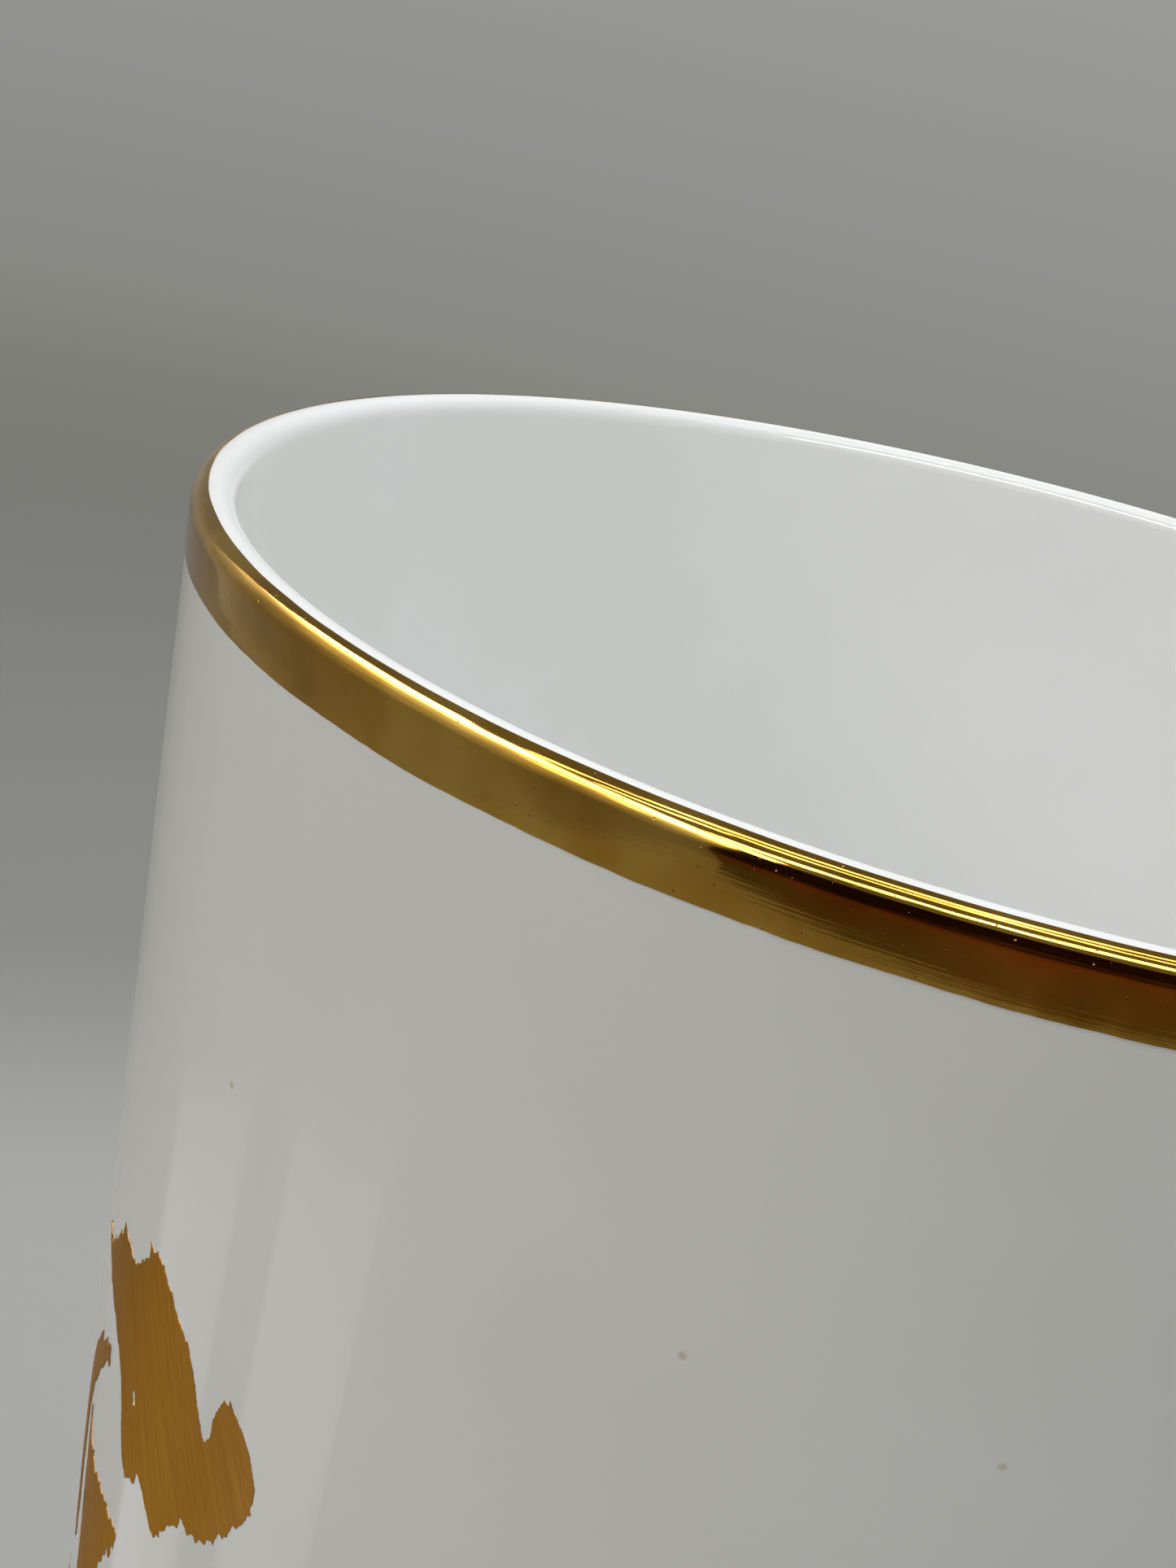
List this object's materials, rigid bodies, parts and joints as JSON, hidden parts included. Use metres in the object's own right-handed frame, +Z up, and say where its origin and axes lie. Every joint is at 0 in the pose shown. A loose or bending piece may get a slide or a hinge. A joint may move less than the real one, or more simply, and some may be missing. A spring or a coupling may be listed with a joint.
{
  "type": "vase",
  "caption": "Round porcelain vase, straight wall narrowing to a ring foot, with a gilded rim band and loose gold brush marks on the front.",
  "frame": {"origin": "on the vase's axis, in the plane that the foot ring stands on", "axes": "+Z up along the vase's axis; -Y towards the front, where the gold brush marks are"},
  "size_m": [0.12, 0.12, 0.26],
  "materials": {
    "bare_porcelain": "unglazed, fine matt",
    "clear_glaze": "glossy clear glaze over white porcelain",
    "burnished_gold": "bright fired gold",
    "brushed_gold": "satin fired gold, brushed on thinly"
  },
  "bodies": {
    "root": {"porcelain_body": "bare_porcelain", "outer_glaze": "clear_glaze", "inner_glaze": "clear_glaze", "recess_glaze": "clear_glaze", "rim_gold_band": "burnished_gold", "upper_gold_daub": "brushed_gold", "upper_gold_curl": "brushed_gold", "upper_gold_wedge": "brushed_gold", "upper_gold_stroke": "brushed_gold", "upper_gold_fleck": "brushed_gold", "middle_gold_daub": "brushed_gold", "middle_gold_stroke": "brushed_gold", "middle_gold_curl": "brushed_gold", "middle_gold_fleck": "brushed_gold", "lower_gold_wedge": "brushed_gold", "lower_gold_stroke": "brushed_gold", "lower_gold_fleck": "brushed_gold"}
  },
  "joints": []
}
